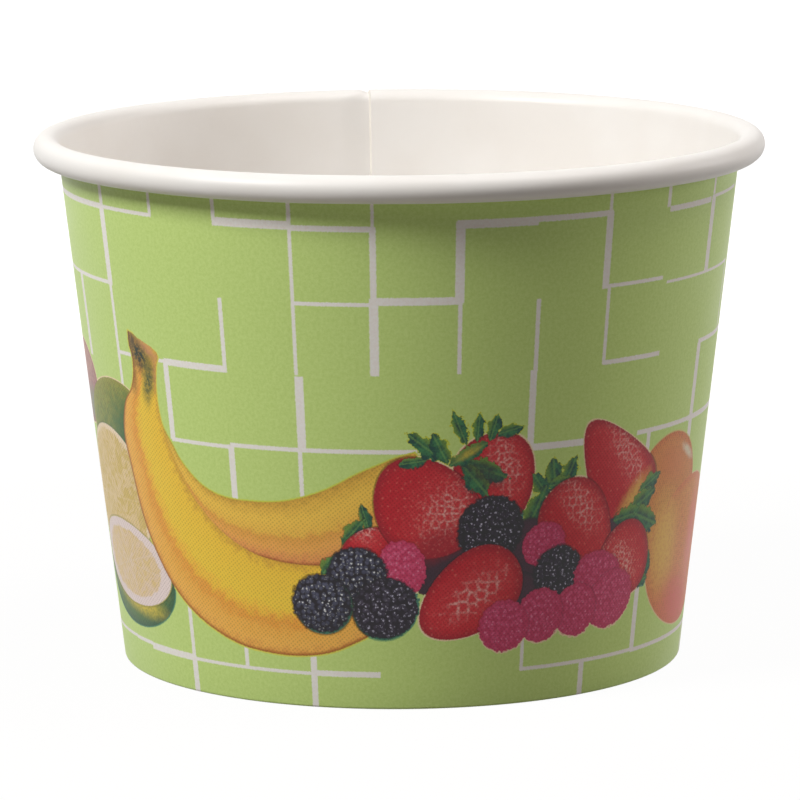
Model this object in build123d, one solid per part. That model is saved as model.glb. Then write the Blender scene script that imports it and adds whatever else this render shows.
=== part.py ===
from build123d import *
import math
import os

# Paper dessert cup, made as such cups are: a fan-shaped blank is wrapped into a cone and lapped at one
# seam, a disc with a turned-down skirt is set in as its floor, the wall's foot is folded in and up over
# that skirt, and the wall's top edge is curled outwards into the rim.
# Lengths are in millimetres and angles in degrees. The cup stands on Z = 0 about the Z axis, with its
# seam at the back, near +Y.

# The cup as a whole
rim_diameter = 95.0  # outside of the rolled rim
base_diameter = 73.0  # outside of the wall, carried down to the table
cup_height = 68.8

# Side wall
wall_board = 0.35
roll_diameter = 3.5  # outside of the rim's roll
curl_clearance = 0.05  # between the curl's tucked end and the wall where that is lapped
curl_tail_turn = 40.0  # how far the curl goes on past one full turn
hem_height = 6.0  # top of the foot's folded-in flap
hem_crease_size = 0.06  # inside each corner of the fold
seam_lap = 8.0  # overlap of the blank's two ends, half way up
seam_ramp = 4.0  # where the outer end climbs onto the inner one, half way up
seam_angle = 95.3  # the inner raw edge, counted from +X

# Bottom disc
bottom_board = 0.30
floor_recess = 7.0  # from the table up to the disc's underside
skirt_crease_size = 0.10  # inside the bend
skirt_end_gap = 0.30  # from the skirt's cut edge down to the fold, where the wall is lapped
sealing_film = 0.02  # the coating that bonds each face of the skirt

# Worked out from those
rim_radius = rim_diameter / 2
base_radius = base_diameter / 2
roll_radius = roll_diameter / 2
lapped_board = 2 * wall_board
tail_radius = roll_radius - lapped_board - curl_clearance
fold_gap = bottom_board + 2 * sealing_film
floor_top = floor_recess + bottom_board


def wall_lean():
    """The wall's angle from upright: its outside starts at the foot, its inside runs into the roll."""
    across = rim_radius - roll_radius - base_radius
    up = cup_height - roll_radius
    to_roll = math.atan2(across, up)
    beside_roll = math.asin((roll_radius - wall_board) / math.hypot(across, up))
    return math.degrees(to_roll - beside_roll)


lean = wall_lean()
lean_sine = math.sin(math.radians(lean))
lean_cosine = math.cos(math.radians(lean))


def on_wall(depth, along):
    """(radius, height) of a point that lies depth outwards from the white face and along up the wall."""
    out = depth - wall_board
    radius = base_radius + out * lean_cosine + along * lean_sine
    return (radius, along * lean_cosine - out * lean_sine)


def along_at(depth, height):
    """How far up the wall a point of that depth and height lies."""
    return (height + (depth - wall_board) * lean_sine) / lean_cosine


roll_along = along_at(roll_radius, cup_height - roll_radius)


def sheet_side(depth, thickness):
    """One face of the board as a line, from the hem's cut edge round the fold, wall and curl.

    Depth is counted outwards from the white face. Thickness is that of all layers folded there: their
    outermost face lies flat on the table.
    """
    height = thickness - depth
    crease = hem_crease_size + depth
    flap_depth = -fold_gap - depth
    flap_along = along_at(flap_depth, height)
    wall_along = along_at(depth, height)
    flap_corner = on_wall(flap_depth, flap_along)
    wall_corner = on_wall(depth, wall_along)
    flap_top = on_wall(flap_depth, along_at(flap_depth, hem_height))
    flap_foot = on_wall(flap_depth, flap_along + crease)
    flat_start = (flap_corner[0] + crease, height)
    flat_end = (wall_corner[0] - crease, height)
    wall_foot = on_wall(depth, wall_along + crease)
    roll_middle = on_wall(roll_radius, roll_along)
    tail_middle = on_wall(roll_radius, roll_along - roll_radius + tail_radius)
    return [
        Line(flap_top, flap_foot),
        Line(flap_foot, flat_start),
        Line(flat_start, flat_end),
        Line(flat_end, wall_foot),
        Line(wall_foot, on_wall(depth, roll_along)),
        CenterArc(roll_middle, roll_radius - depth, 180 - lean, -270),
        CenterArc(tail_middle, tail_radius - depth, -90 - lean, -90 - curl_tail_turn),
    ]


def sheet_section(near, far):
    """The board's cut face in the XZ plane, between two depths behind the white face."""
    near_side = sheet_side(near, far)
    far_side = sheet_side(far, far)
    hem_edge = Line(near_side[0] @ 0, far_side[0] @ 0)
    curl_edge = Line(near_side[-1] @ 1, far_side[-1] @ 1)
    return Plane.XZ * make_face([hem_edge, *near_side, curl_edge, *far_side])


def make_side_wall():
    """One board. At the seam its inner end stays flush and its outer end climbs onto it."""
    middle_radius = on_wall(0, cup_height / 2)[0]
    lap_turn = math.degrees(seam_lap / middle_radius)
    ramp_turn = math.degrees(seam_ramp / middle_radius)
    single = sheet_section(0, wall_board)
    lifted = sheet_section(wall_board, lapped_board)
    lapped = sheet_section(0, lapped_board)
    wrap = Rot(Z=ramp_turn) * revolve(single, axis=Axis.Z, revolution_arc=360 - lap_turn - ramp_turn)
    lap = Rot(Z=-lap_turn) * revolve(lapped, axis=Axis.Z, revolution_arc=lap_turn)
    ramp = loft([lifted, Rot(Z=ramp_turn) * single], ruled=True)
    return Rot(Z=seam_angle) * (wrap + ramp + lap)


def disc_side(depth, height, crease):
    """One face of the disc as a line, from the axis out to the bend and down its skirt."""
    corner_along = along_at(depth, height)
    corner = on_wall(depth, corner_along)
    bend_start = (corner[0] - crease, height)
    bend_end = on_wall(depth, corner_along - crease)
    skirt_end = on_wall(depth, along_at(-sealing_film, lapped_board + skirt_end_gap))
    return [
        Line((0, height), bend_start),
        Line(bend_start, bend_end),
        Line(bend_end, skirt_end),
    ]


def make_bottom_disc():
    """A flat disc whose edge is turned down as a skirt, which the foot's fold grips."""
    top_side = disc_side(-sealing_film, floor_top, skirt_crease_size + bottom_board)
    under_side = disc_side(-sealing_film - bottom_board, floor_recess, skirt_crease_size)
    middle = Line(top_side[0] @ 0, under_side[0] @ 0)
    cut_edge = Line(top_side[-1] @ 1, under_side[-1] @ 1)
    section = Plane.XZ * make_face([middle, *top_side, cut_edge, *under_side])
    return revolve(section, axis=Axis.Z)


os.makedirs("parts", exist_ok=True)
parts = {"side_wall": make_side_wall(), "bottom_disc": make_bottom_disc()}
for name, shape in parts.items():
    export_step(shape, f"parts/{name}.step")
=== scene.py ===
import math
from functools import partial

import bmesh
import bpy
from mathutils import Matrix, Quaternion, Vector, noise


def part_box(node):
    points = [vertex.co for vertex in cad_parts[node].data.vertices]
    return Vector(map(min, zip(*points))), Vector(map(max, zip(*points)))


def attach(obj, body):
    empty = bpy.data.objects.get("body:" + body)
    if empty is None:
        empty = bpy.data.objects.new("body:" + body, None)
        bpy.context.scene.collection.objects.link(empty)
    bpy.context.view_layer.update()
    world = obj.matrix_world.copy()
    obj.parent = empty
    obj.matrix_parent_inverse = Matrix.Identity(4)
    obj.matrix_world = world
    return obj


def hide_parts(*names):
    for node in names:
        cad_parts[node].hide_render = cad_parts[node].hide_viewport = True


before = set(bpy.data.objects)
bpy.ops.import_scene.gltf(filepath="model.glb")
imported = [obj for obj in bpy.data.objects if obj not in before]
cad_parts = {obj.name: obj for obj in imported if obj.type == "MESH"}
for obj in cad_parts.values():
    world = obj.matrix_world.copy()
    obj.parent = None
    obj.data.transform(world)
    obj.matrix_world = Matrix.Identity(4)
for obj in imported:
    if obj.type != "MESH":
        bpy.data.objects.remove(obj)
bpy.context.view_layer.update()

# Paper dessert cup: a printed side wall and a white floor disc, dressed for a studio shot.
# Sizes are in millimetres until a mesh is finished, then in metres. Angles are in degrees.
metresPerMm = 0.001
wallLow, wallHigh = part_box("side_wall")
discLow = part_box("bottom_disc")[0]

wall = {
    "rimRadius": (wallHigh[0] - wallLow[0]) / 2 / metresPerMm,
    "height": wallHigh[2] / metresPerMm,
    "baseRadius": 36.5,        # outside of the wall at the table
    "board": 0.35,
    "rollRadius": 1.75,
    "curlClearance": 0.05,
    "tailTurn": 40.0,          # how far the curl goes on past one full turn
    "hemHeight": 6.0,          # top of the folded-in flap
    "creaseSize": 0.06,        # inside each corner of the fold
    "foldGap": 0.34,           # room for the disc's skirt
    "layerGap": 0.01,          # between the two layers at the lap
    "seamAngle": 95.3,         # the inner raw edge, counted from +X
    "lap": 8.0,                # overlap, half way up
    "ramp": 4.0,               # where the outer end climbs onto the inner one
    "rolledRamp": 1.7,         # the same in the curl, which has pressed it, in degrees
    "pressedBy": 0.25,         # the share of the roll from which it is as narrow as that
    "cutSlant": 0.26,          # how far the inner raw edge leans back from square
    "seamPeak": 0.09,          # how far the stiff board ends stand out at the seam
    "seamPeakWidth": 7.0,      # each way from the seam, in degrees
    "wave": 0.05,              # unevenness of the wrapped wall
    "wavesRound": 1.3,         # how quickly it changes round the cup
    "waveHeight": 60.0,        # and up the wall
    "firmFoot": 12.0,          # the height from which the wall is free to stray
    "rollWave": 0.04,          # unevenness of the curl
    "rollWaveTurn": 14.0,      # and how far apart its waves are, in degrees
    "sharpTurn": 35.0,         # an edge that turns further than this is shaded sharp
}


def cosineAndSine(angle):
    turned = math.radians(angle)
    return math.cos(turned), math.sin(turned)


# Angle of the wall from upright, in radians
def wallLean():
    across = wall["rimRadius"] - wall["rollRadius"] - wall["baseRadius"]
    up = wall["height"] - wall["rollRadius"]
    return math.atan2(across, up) - math.asin((wall["rollRadius"] - wall["board"]) / math.hypot(across, up))


lean = wallLean()
leanSine, leanCosine = math.sin(lean), math.cos(lean)
midRadius = wall["baseRadius"] + wall["height"] / 2 * math.tan(lean)
lapTurn = math.degrees(wall["lap"] / midRadius)
rampTurn = math.degrees(wall["ramp"] / midRadius)


# (radius, height) of a point that lies depth outwards from the white face and along up the wall
def onWall(depth, along):
    out = depth - wall["board"]
    radius = wall["baseRadius"] + out * leanCosine + along * leanSine
    return Vector((radius, along * leanCosine - out * leanSine))


# How far up the wall a point of that depth and height lies
def alongAt(depth, height):
    return (height + (depth - wall["board"]) * leanSine) / leanCosine


rollAlong = alongAt(wall["rollRadius"], wall["height"] - wall["rollRadius"])
print("wall lean", round(math.degrees(lean), 3), "roll starts", round(rollAlong, 2))


# The wall's blank as rows up the sheet and columns along it, with the steps in each
rowSpans = [
    ("flap", 6), ("flapFold", 6), ("flat", 1), ("wallFold", 6), ("upright", 20), ("roll", 28), ("tail", 9),
]
columnSpans = [
    (0.0, 10), (lapTurn, 8), (lapTurn + 2 * rampTurn, 260), (360 - rampTurn, 8),
    (360 - wall["rolledRamp"], 8), (360.0, 12), (360 + lapTurn, 0),
]


# A point on the soft bend that leaves a corner's two sides at start and end
def softCorner(start, corner, end, share):
    return start.lerp(corner, share).lerp(corner.lerp(end, share), share)


# (radius, height) of a row, at that depth outwards from the inner layer's white face. Raised is how far the
# fold lies above the table
def sheetPlace(span, share, depth, raised):
    crease = wall["creaseSize"] + depth
    flapDepth = -wall["foldGap"] - depth
    up = Vector((leanSine, leanCosine))
    wallCorner = onWall(depth, alongAt(depth, raised))
    flapCorner = onWall(flapDepth, alongAt(flapDepth, raised))
    wallReach = crease * math.tan((math.pi / 2 - lean) / 2)
    flapReach = crease * math.tan((math.pi / 2 + lean) / 2)
    wallFoot = wallCorner + up * wallReach
    flapFoot = flapCorner + up * flapReach
    flatOut = wallCorner - Vector((wallReach, 0))
    flatIn = flapCorner + Vector((flapReach, 0))
    if span == "flap":
        return onWall(flapDepth, alongAt(flapDepth, wall["hemHeight"])).lerp(flapFoot, share)
    if span == "flapFold":
        return softCorner(flapFoot, flapCorner, flatIn, share)
    if span == "flat":
        return flatIn.lerp(flatOut, share)
    if span == "wallFold":
        return softCorner(flatOut, wallCorner, wallFoot, share)
    if span == "upright":
        return wallFoot.lerp(onWall(depth, rollAlong), share)
    if span == "roll":
        middle = onWall(wall["rollRadius"], rollAlong)
        radius = wall["rollRadius"] - depth
        angle = math.pi - lean - math.radians(270) * share
    else:
        tailRadius = wall["rollRadius"] - 2 * wall["board"] - wall["curlClearance"]
        middle = onWall(wall["rollRadius"], rollAlong - wall["rollRadius"] + tailRadius)
        radius = tailRadius - depth
        angle = -math.pi / 2 - lean - math.radians(90 + wall["tailTurn"]) * share
    return middle + Vector((math.cos(angle), math.sin(angle))) * radius


# Shades a piece smooth up to that turn at an edge, and puts it in the scene
def finishPiece(bm, name, sharpTurn):
    for face in bm.faces:
        face.smooth = True
    for edge in bm.edges:
        edge.smooth = len(edge.link_faces) == 2 and edge.calc_face_angle(0) < math.radians(sharpTurn)
    mesh = bpy.data.meshes.new(name)
    bm.to_mesh(mesh)
    bm.free()
    piece = bpy.data.objects.new(name, mesh)
    bpy.context.collection.objects.link(piece)
    return piece


# 0 below low, 1 above high and a smooth step between them
def smooth(low, high, value):
    share = min(max((value - low) / (high - low), 0), 1)
    return share * share * (3 - 2 * share)


# Turns [(start value, steps to the next)] into evenly stepped values
def spanStations(spans):
    values = []
    for (start, steps), (end, _) in zip(spans, spans[1:]):
        values += [start + (end - start) * step / steps for step in range(steps)]
    return values + [spans[-1][0]]


# How far the wrapped sheet stands out of true, at an angle round the cup
def unevenness(angle, height):
    cosine, sine = cosineAndSine(angle)
    reach = wall["wavesRound"]
    place = Vector((cosine * reach, sine * reach, height / wall["waveHeight"]))
    wave = wall["wave"] * noise.noise(place + Vector((3.1, 0, 0))) * 2
    fromSeam = (angle - wall["seamAngle"] + 180) % 360 - 180
    near = max(0, 1 - abs(fromSeam) / wall["seamPeakWidth"])
    return (wave + wall["seamPeak"] * near * near) * smooth(0, wall["firmFoot"], height)


# How far up the flat blank each row lies, with its folds and curl laid out
def blankHeights(rows):
    line = [sheetPlace(span, share, wall["board"], 0) for span, share in rows]
    foot = next(i for i, (span, _) in enumerate(rows) if span == "upright")
    heights = {foot: alongAt(wall["board"], line[foot][1])}
    for i in range(foot + 1, len(rows)):
        heights[i] = heights[i - 1] + (line[i] - line[i - 1]).length
    for i in range(foot - 1, -1, -1):
        heights[i] = heights[i + 1] - (line[i] - line[i + 1]).length
    return heights


# The printed face of the wrapped blank. Its UV map holds each place on the flat blank
def makeSheet(rows, columns):
    heights = blankHeights(rows)
    layerStep = wall["board"] + wall["layerGap"]
    bm = bmesh.new()
    bmesh.ops.create_grid(bm, x_segments=len(columns) - 1, y_segments=len(rows) - 1, size=1)
    blank = bm.loops.layers.uv.new("blank")

    def rowAndTurn(vert):
        row = round((vert.co.y + 1) / 2 * (len(rows) - 1))
        return row, columns[round((vert.co.x + 1) / 2 * (len(columns) - 1))]

    for face in bm.faces:
        for loop in face.loops:
            row, turn = rowAndTurn(loop.vert)
            angle = wall["seamAngle"] - turn
            loop[blank].uv = (math.radians(angle + 90) * midRadius, heights[row])
    for vert in bm.verts:
        row, turn = rowAndTurn(vert)
        span, share = rows[row]
        angle = wall["seamAngle"] - turn
        rolled = {"roll": smooth(0, wall["pressedBy"], share), "tail": 1}.get(span, 0)
        rampWidth = rampTurn + (wall["rolledRamp"] - rampTurn) * rolled
        lifted = layerStep * smooth(360 - rampWidth, 360, turn)
        raised = layerStep * (1 - smooth(lapTurn, lapTurn + 2 * rampTurn, turn))
        place = sheetPlace(span, share, wall["board"] + lifted, raised)
        radius = place[0] + unevenness(angle, place[1])
        height = place[1]
        if span in ("roll", "tail"):
            stray = noise.noise(Vector((angle / wall["rollWaveTurn"], 7.7, 0)))
            height += wall["rollWave"] * stray * (1 if span == "tail" else share)
        cosine, sine = cosineAndSine(angle)
        vert.co = Vector((radius * cosine, radius * sine, height)) * metresPerMm
    bm.normal_update()
    probe = min(bm.faces, key=lambda face: abs(face.calc_center_median().z - wallHigh[2] / 2))
    if probe.normal.dot(Vector((*probe.calc_center_median().xy, 0))) < 0:
        bmesh.ops.reverse_faces(bm, faces=bm.faces)
    mesh = bpy.data.meshes.new("cupWallSheet")
    bm.to_mesh(mesh)
    bm.free()
    return mesh


# Gives the sheet its thickness: the print's side stays in the first slot, the white and the raw edge follow
def thickenSheet(sheetMesh):
    sheet = bpy.data.objects.new("cupWallSheet", sheetMesh)
    bpy.context.collection.objects.link(sheet)
    for material in (printedBoards[0], whiteBoard, rawEdge):
        sheetMesh.materials.append(material)
    thicken = sheet.modifiers.new("board", "SOLIDIFY")
    thicken.thickness = wall["board"] * metresPerMm
    thicken.offset = -1
    thicken.use_even_offset = True
    thicken.use_quality_normals = True
    thicken.material_offset = 1
    thicken.material_offset_rim = 2
    solid = bpy.data.meshes.new_from_object(sheet.evaluated_get(bpy.context.evaluated_depsgraph_get()))
    bpy.data.objects.remove(sheet)
    return solid


def makeSideWall():
    rows = [(span, step / steps) for span, steps in rowSpans for step in range(steps)] + [("tail", 1.0)]
    columns = spanStations(columnSpans)
    sheetMesh = makeSheet(rows, columns)
    bm = bmesh.new()
    bm.from_mesh(thickenSheet(sheetMesh))
    bm.verts.ensure_lookup_table()
    blank = bm.loops.layers.uv["blank"]
    for face in bm.faces:   # the white and the raw sides first, then the print's zones
        if face.material_index == 0:
            middle = sum((loop[blank].uv for loop in face.loops), Vector((0, 0))) / len(face.loops)
            zone = zoneOf(*middle)
            face.material_index = 0 if zone is None else zone + 2
        else:
            face.material_index -= 1
    for i in range(len(rows)):   # the die's cut leans, so that the inner raw edge shows
        first = len(sheetMesh.vertices) + i * len(columns)
        for vert in (bm.verts[first], bm.verts[first + len(columns) - 1]):
            if abs(math.degrees(math.atan2(vert.co.y, vert.co.x)) - wall["seamAngle"]) < 0.5:
                radius = vert.co.xy.length / metresPerMm
                vert.co = Matrix.Rotation(-wall["cutSlant"] / radius, 3, "Z") @ vert.co
                break
    return finishPiece(bm, "cupWall", wall["sharpTurn"])


floorDisc = {
    "recess": discLow[2] / metresPerMm,
    "underside": 7.0,
    "board": 0.30,
    "film": 0.02,          # coating between skirt and wall
    "outerBend": 0.53,     # size of the bend into the skirt, on top
    "innerBend": 0.21,     # and underneath
    "bendSteps": 4,
    "sag": 0.12,           # how far the middle hangs
    "rings": 7,
    "steps": 160,
    "sharpTurn": 40.0,
    "mergeWithin": 0.002,
    "closeBy": 0.01,       # how near a point has to be to count as that corner
}


def makeFloorDisc():
    board, film = floorDisc["board"], floorDisc["film"]
    top, under = floorDisc["underside"] + board, floorDisc["underside"]
    outerTop = onWall(-film, alongAt(-film, top))
    outerFoot = onWall(-film, alongAt(-film, floorDisc["recess"]))
    innerTop = onWall(-film - board, alongAt(-film - board, under))
    innerFoot = onWall(-film - board, alongAt(-film - board, floorDisc["recess"]))
    bm = bmesh.new()
    corners = [Vector((0, top)), outerTop, outerFoot, innerFoot, innerTop, Vector((0, under))]
    verts = [bm.verts.new(Vector((corner[0], 0, corner[1]))) for corner in corners]
    edges = [bm.edges.new(pair) for pair in zip(verts, verts[1:])]
    bmesh.ops.subdivide_edges(bm, edges=[edges[0], edges[4]], cuts=floorDisc["rings"])
    bmesh.ops.spin(bm, geom=bm.verts[:] + bm.edges[:], cent=(0, 0, 0), axis=(0, 0, 1),
                   angle=math.tau, steps=floorDisc["steps"], use_merge=True)
    bmesh.ops.remove_doubles(bm, verts=bm.verts, dist=floorDisc["mergeWithin"])
    bmesh.ops.recalc_face_normals(bm, faces=bm.faces)

    def onBend(edge, corner):
        return all((Vector((vert.co.xy.length, vert.co.z)) - corner).length < floorDisc["closeBy"]
                   for vert in edge.verts)

    for corner, size in ((outerTop, floorDisc["outerBend"]), (innerTop, floorDisc["innerBend"])):
        bend = [edge for edge in bm.edges if onBend(edge, corner)]
        bmesh.ops.bevel(bm, geom=bend, offset=size, segments=floorDisc["bendSteps"], profile=0.5,
                        affect="EDGES", material=-1)
    reach = outerTop[0]
    for vert in bm.verts:
        share = min(vert.co.xy.length / reach, 1)
        if vert.co.z > under - floorDisc["closeBy"]:
            vert.co.z -= floorDisc["sag"] * (1 - share * share) ** 2
    bmesh.ops.scale(bm, vec=(metresPerMm,) * 3, verts=bm.verts)
    return finishPiece(bm, "cupFloor", floorDisc["sharpTurn"])


# Shader helpers
def feed(socket, value):
    if isinstance(value, bpy.types.NodeSocket):
        socket.id_data.links.new(value, socket)
    else:
        socket.default_value = value


def addNode(tree, kind, inputs=(), **settings):
    made = tree.nodes.new(kind)
    for name, value in settings.items():
        setattr(made, name, value)
    for name, value in dict(inputs).items():
        feed(made.inputs[name], value)
    return made


# The node tree of the first socket among those values
def treeOf(*values):
    return next(value.id_data for value in values if isinstance(value, bpy.types.NodeSocket))


def maths(operation, *values):
    return addNode(treeOf(*values), "ShaderNodeMath", enumerate(values), operation=operation).outputs[0]


def times(first, second):
    return maths("MULTIPLY", first, second)


def timesPlus(first, second, third):
    return maths("MULTIPLY_ADD", first, second, third)


def minus(first, second):
    return maths("SUBTRACT", first, second)


def highest(first, second):
    return maths("MAXIMUM", first, second)


def mixColour(share, low, high, blend="MIX"):
    return addNode(treeOf(share, low, high), "ShaderNodeMix", {0: share, 6: low, 7: high},
                   data_type="RGBA", blend_type=blend, clamp_factor=True).outputs[2]


# 0 below low, 1 above high and a smooth step between them. High may be the lower one
def rise(value, low, high):
    inputs = {"Value": value, "From Min": low, "From Max": high}
    return addNode(treeOf(value), "ShaderNodeMapRange", inputs, interpolation_type="SMOOTHSTEP",
                   clamp=False).outputs[0]


def linear(level):
    return level / 255 / 12.92 if level <= 10 else ((level / 255 + 0.055) / 1.055) ** 2.4


# A colour as it is seen on paper, 0 to 255, as the shader's linear one
def ink(red, green, blue):
    return linear(red), linear(green), linear(blue), 1


inkLift = 1.29   # how much lighter the inks are than they look in the lamps' light


# A printed colour, as it looks on the cup's best lit side
def dye(red, green, blue):
    return tuple(min(share * inkLift, 1) for share in ink(red, green, blue)[:3]) + (1,)


def makeGroup(name, inputs, outputs):
    tree = bpy.data.node_groups.new(name, "ShaderNodeTree")
    for direction, sockets in (("INPUT", inputs), ("OUTPUT", outputs)):
        for socketName, kind in sockets.items():
            tree.interface.new_socket(name=socketName, in_out=direction, socket_type="NodeSocket" + kind)
    taken = tree.nodes.new("NodeGroupInput").outputs
    given = tree.nodes.new("NodeGroupOutput").inputs
    return tree, taken, given


def useGroup(tree, group, inputs):
    return addNode(tree, "ShaderNodeGroup", inputs, node_tree=group).outputs


# The print, in groups that each lay one figure over what is under it. They pass plain numbers and colours
# only: a chain this long fits the renderer's memory only where no vector has to be turned into another kind
# of socket. This one gives the distance to a straight line of the pattern, or to the nearest one so far
def makeStrokeGroup():
    sockets = ["X", "Y", "MiddleX", "MiddleY", "HalfX", "HalfY", "Nearest"]
    tree, taken, given = makeGroup("inkStroke", dict.fromkeys(sockets, "Float"), {"Nearest": "Float"})
    gaps = []
    for axis in "XY":
        offset = maths("ABSOLUTE", minus(taken[axis], taken["Middle" + axis]))
        gaps.append(minus(offset, taken["Half" + axis]))
    feed(given["Nearest"], maths("MINIMUM", highest(*gaps), taken["Nearest"]))
    return tree


figureInputs = {"Under": "Color", "Fringe": "Color", **dict.fromkeys([
    "X", "Y", "CentreX", "CentreY", "AcrossX", "AcrossY", "UpX", "UpY", "Dots", "Grain", "Sparkle", "Edge",
    "Painted", "Outline"], "Float")}


# A figure's group. The place is moved, turned and scaled so that the figure reaches from -1 to 1, and draw
# gives the colour and what is painted so far
def makeFigureGroup(name, draw, extra):
    tree, taken, given = makeGroup(name, {**figureInputs, **extra}, {"Color": "Color", "Painted": "Float"})
    dx = minus(taken["X"], taken["CentreX"])
    dy = minus(taken["Y"], taken["CentreY"])
    x = timesPlus(dx, taken["AcrossX"], times(dy, taken["AcrossY"]))
    y = timesPlus(dx, taken["UpX"], times(dy, taken["UpY"]))
    for output, value in zip(given, draw(taken, x, y)):
        feed(output, value)
    return tree


# The inputs that put a figure with those half sizes at its centre, turned to the left by turn
def figurePlace(centre, size, turn):
    cosine, sine = cosineAndSine(turn)
    return {"CentreX": centre[0], "CentreY": centre[1],
            "AcrossX": cosine / size[0], "AcrossY": sine / size[0],
            "UpX": -sine / size[1], "UpY": cosine / size[1],
            "Edge": printLook["edge"] / math.sqrt(size[0] * size[1])}


def lengthOf(x, y):
    return maths("SQRT", timesPlus(x, x, times(y, y)))


# A number that grows in one direction, as light does across a fruit
def slope(x, y, xShare, yShare, level):
    return timesPlus(x, xShare, timesPlus(y, yShare, level))


# Prints colour where reach is under 1. It has a thin pale fringe on the green and a dark one on other figures
def layOver(taken, reach, colour):
    under, painted = taken["Under"], taken["Painted"]
    outside = minus(reach, 1)
    shaded = mixColour(taken["Outline"], under, dye(44, 22, 26), "MULTIPLY")
    fringe = mixColour(painted, taken["Fringe"], shaded)
    outer = times(taken["Edge"], 2.6)
    under = mixColour(rise(outside, outer, taken["Edge"]), under, fringe)
    dotted = mixColour(times(taken["Dots"], 0.27), colour, dye(96, 60, 50), "MULTIPLY")
    inner = times(taken["Edge"], -0.7)
    covered = rise(outside, taken["Edge"], inner)
    return mixColour(covered, under, dotted), highest(painted, covered)


def drawRoundFruit(taken, x, y):
    reach = lengthOf(x, y)
    lit = slope(x, y, -0.15, 0.6, timesPlus(taken["Grain"], 0.4, 0.2))
    colour = mixColour(lit, taken["Deep"], taken["Lit"])
    colour = mixColour(rise(reach, 0.80, 1.04), colour, taken["Blush"])
    colour = mixColour(times(taken["Sparkle"], 0.25), colour, dye(168, 104, 66), "MULTIPLY")
    return layOver(taken, reach, colour)


# A tint that fades out, for what changes across a fruit
def drawSoftPatch(taken, x, y):
    reach = timesPlus(taken["Grain"], 0.12, lengthOf(x, y))
    share = times(taken["Share"], timesPlus(taken["Sparkle"], -0.36, 1.0))
    share = times(rise(reach, 1.1, 0.2), times(share, taken["Painted"]))
    return mixColour(share, taken["Under"], taken["Tint"]), taken["Painted"]


# A berry that narrows to -Y. Seeds is the distance from the nearest one. Net is that from the lines between
# them, which shine in a band round GlintX and GlintY, and WideNet that from wider ones
def drawStrawberry(taken, x, y):
    narrowed = times(x, minus(1.05, times(y, taken["Taper"])))
    reach = lengthOf(narrowed, y)
    glintX = times(minus(x, taken["GlintX"]), 1.7)
    fromGlint = lengthOf(glintX, minus(y, taken["GlintY"]))
    fromGlint = timesPlus(taken["Grain"], 0.35, fromGlint)
    colour = mixColour(rise(fromGlint, 1.9, 0.2), dye(178, 37, 47), dye(198, 60, 65))
    colour = mixColour(rise(reach, 0.74, 1.06), colour, dye(144, 32, 43))
    seed = times(rise(taken["Seeds"], 0.3, 0.05), taken["Sparkle"])
    colour = mixColour(times(seed, 0.32), colour, dye(238, 140, 124))
    speck = times(rise(taken["Spots"], 0.5, 0.1), rise(fromGlint, 1.5, 0.3))
    speck = times(times(speck, taken["Specks"]), taken["Sparkle"])
    colour = mixColour(speck, colour, dye(246, 178, 160))
    wider = minus(taken["WideNet"], taken["Net"])
    lines = timesPlus(wider, taken["Wide"], taken["Net"])
    net = times(rise(lines, 0.26, 0.0), rise(fromGlint, 1.0, 0.4))
    net = times(net, timesPlus(taken["Sparkle"], 0.55, 0.27))
    colour = mixColour(net, colour, dye(244, 184, 176))
    return layOver(taken, reach, colour)


# A berry of small beads, dark or pink. Beads is the distance from the nearest bead's middle, and Spots that
# from the nearest glint
def drawBeadBerry(taken, x, y):
    radius = lengthOf(x, y)
    reach = timesPlus(taken["Beads"], 0.08, timesPlus(taken["Grain"], 0.06, radius))
    reach = minus(reach, 0.06)
    lit = slope(x, y, -0.12, 0.3, 0.72)
    bead = times(rise(taken["Beads"], 0.6, 0.15), lit)
    colour = mixColour(bead, taken["Deep"], taken["Bead"])
    spot = times(rise(taken["Spots"], 0.42, 0.1), taken["Gloss"])
    spot = times(spot, times(taken["Sparkle"], rise(taken["Beads"], 0.6, 0.3)))
    colour = mixColour(spot, colour, taken["Spot"])
    colour = mixColour(rise(radius, 0.72, 1.1), colour, taken["Deep"])
    return layOver(taken, reach, colour)


def drawLeaf(taken, x, y):
    half = minus(1, times(x, x))
    ragged = timesPlus(taken["Grain"], 0.5, -0.27)
    across = maths("ADD", maths("ABSOLUTE", y), ragged)
    reach = maths("ADD", minus(across, half), 1)
    colour = mixColour(taken["Grain"], dye(16, 52, 48), dye(56, 110, 70))
    rib = times(rise(maths("ABSOLUTE", y), 0.2, 0.02), 0.4)
    colour = mixColour(rib, colour, dye(120, 160, 84))
    colour = mixColour(times(rise(y, 0.1, 0.9), 0.6), colour, dye(126, 158, 66))
    return layOver(taken, reach, colour)


# A cut half: rind, pith and flesh. FleshEnd and PithEnd are shares of its reach
def drawCitrusHalf(taken, x, y):
    reach = lengthOf(x, y)
    angle = maths("ARCTAN2", y, x)
    wedge = maths("ABSOLUTE", maths("SINE", times(angle, 5)))
    fromWall = timesPlus(taken["Grain"], 0.1, times(wedge, reach))
    flesh = mixColour(taken["Streaks"], taken["Flesh"], taken["Juice"])
    flesh = mixColour(times(rise(fromWall, 0.17, 0.07), 0.25), flesh, taken["Pith"])
    inner = timesPlus(taken["Grain"], 0.05, reach)
    fleshEdge = maths("ADD", taken["FleshEnd"], 0.05)
    colour = mixColour(rise(inner, taken["FleshEnd"], fleshEdge), flesh, taken["Pith"])
    pithEdge = maths("ADD", taken["PithEnd"], 0.02)
    colour = mixColour(rise(reach, taken["PithEnd"], pithEdge), colour, taken["Rind"])
    return layOver(taken, reach, colour)


bananaTurn = 65.0   # how far a banana's curves reach each way from the middle of its bend


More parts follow.
